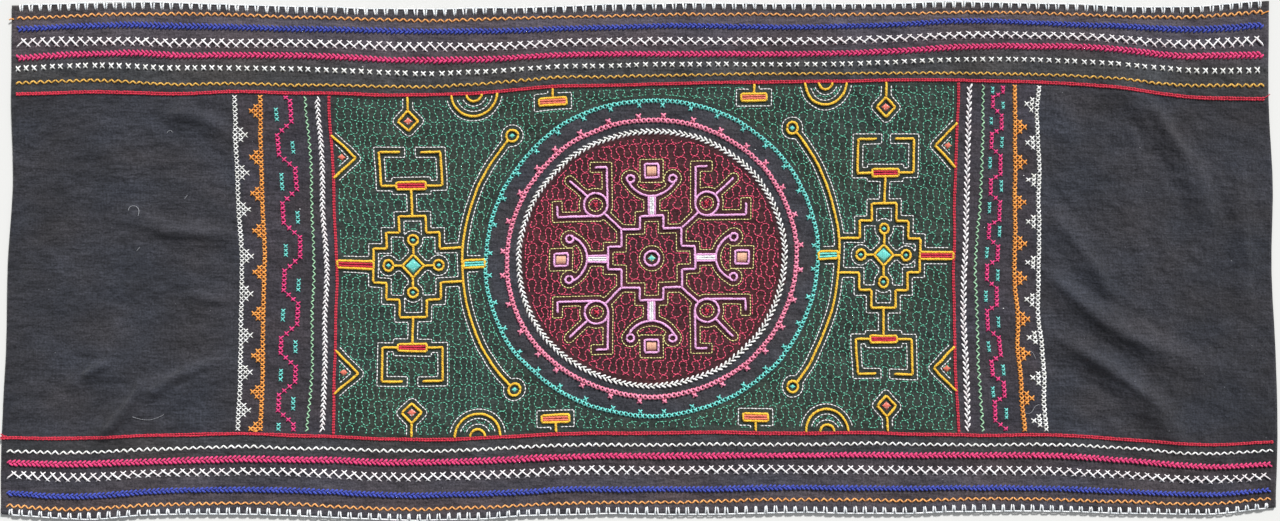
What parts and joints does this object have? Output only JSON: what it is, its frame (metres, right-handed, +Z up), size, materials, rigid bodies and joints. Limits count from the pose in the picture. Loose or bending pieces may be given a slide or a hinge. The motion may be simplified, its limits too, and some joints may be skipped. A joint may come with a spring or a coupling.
{
  "type": "embroidered cloth",
  "caption": "Long rectangular black cotton cloth, hand embroidered with border rows, stitched columns and a filled middle panel round a ringed medallion, lying flat.",
  "frame": {"origin": "middle of the cloth's box, on the surface that the cloth lies on", "axes": "+X along the cloth, +Y across it towards its upper long edge, +Z up from its back to its embroidered face"},
  "size_m": [1.512, 0.6144, 0.009],
  "materials": {
    "black_cotton": "matt plain-woven black cotton, a little faded",
    "cotton_thread": "soft twisted cotton embroidery thread in red, pink, orange, yellow, green, turquoise, blue and white"
  },
  "bodies": {
    "root": {"cloth": "black_cotton"}
  },
  "joints": []
}
